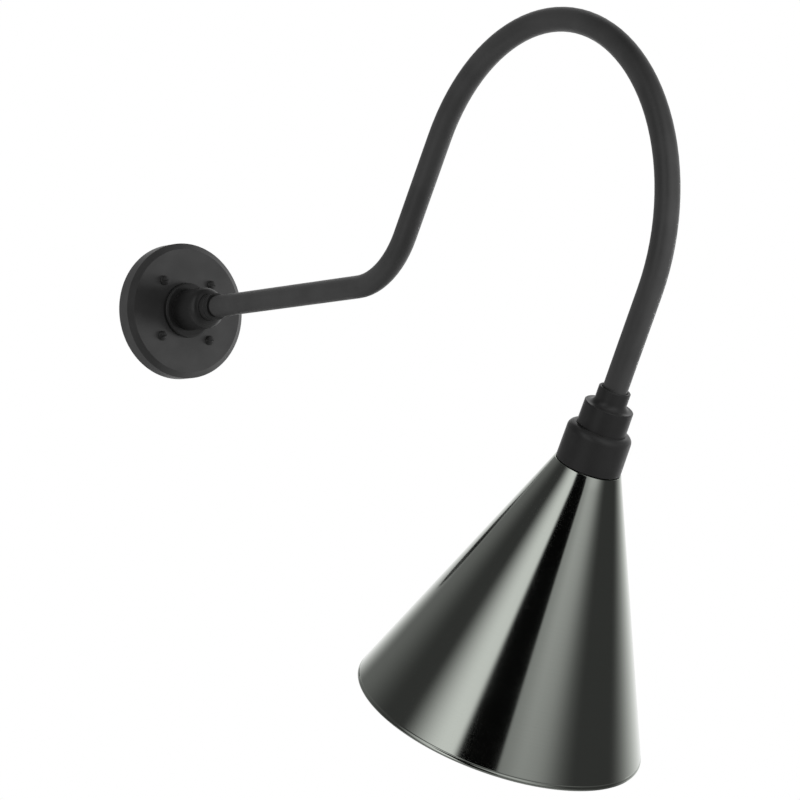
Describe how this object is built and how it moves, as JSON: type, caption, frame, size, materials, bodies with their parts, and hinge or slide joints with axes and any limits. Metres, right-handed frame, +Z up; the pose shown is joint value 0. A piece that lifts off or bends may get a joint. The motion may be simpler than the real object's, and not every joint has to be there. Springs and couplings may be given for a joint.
{
  "type": "gooseneck wall sconce",
  "caption": "Wall light with a round canopy, a bent tube arm that rises and hooks over, a socket cap and cup, a cone shade and a screw-in lamp.",
  "frame": {"origin": "centre of the canopy in the plane of the wall", "axes": "the wall is the plane Y = 0 and the light stands out from it along -Y; +Z is up; the arm's centre line lies in the plane X = 0"},
  "size_m": [0.2274, 0.6761, 0.5958],
  "materials": {
    "black_coat": "satin black powder coat",
    "shade_nickel": "polished dark nickel outside, white enamel inside",
    "zinc_steel": "bright zinc plate",
    "green_steel": "green dyed zinc",
    "tinned_copper": "tinned, satin",
    "connector_plastic": "moulded",
    "porcelain": "glazed",
    "nickel_brass": "stamped, satin",
    "black_insulation": "smooth wire insulation",
    "white_insulation": "smooth wire insulation",
    "green_insulation": "smooth wire insulation",
    "frosted_glass": "inside frosted",
    "clear_glass": "clear, polished",
    "black_glass": "black glass",
    "lamp_metal": "rolled, satin",
    "tungsten": "fine coil"
  },
  "bodies": {
    "fixture": {"wall_bracket": "zinc_steel", "earth_screw": "green_steel", "earth_terminal": "tinned_copper", "wire_connectors": "connector_plastic", "canopy": "black_coat", "canopy_screws": "black_coat", "hub": "black_coat", "hub_washer": "zinc_steel", "hub_locknut": "zinc_steel", "arm_collar": "black_coat", "arm_tube": "black_coat", "socket_cap": "black_coat", "socket_stem": "zinc_steel", "cup_nut": "zinc_steel", "strap_nut": "zinc_steel", "socket_cup": "black_coat", "socket_strap": "zinc_steel", "strap_terminal": "tinned_copper", "socket_porcelain": "porcelain", "socket_screws": "zinc_steel", "screw_shell": "nickel_brass", "centre_contact": "nickel_brass", "shell_rivet": "nickel_brass", "contact_rivet": "nickel_brass", "shade": "shade_nickel", "shade_ring": "porcelain", "line_lead": "black_insulation", "neutral_lead": "white_insulation", "earth_lead": "green_insulation"},
    "lamp": {"lamp_glass": "frosted_glass", "lamp_base": "lamp_metal", "lamp_insulator": "black_glass", "lamp_contact": "lamp_metal", "lamp_mount": "clear_glass", "lamp_supports": "lamp_metal", "lamp_filament": "tungsten"}
  },
  "joints": [
    {"name": "lamp_out", "type": "slide", "parent": "fixture", "child": "lamp", "axis": [0, 0.4695, -0.8829], "range_m": [0, 0.23]}
  ]
}
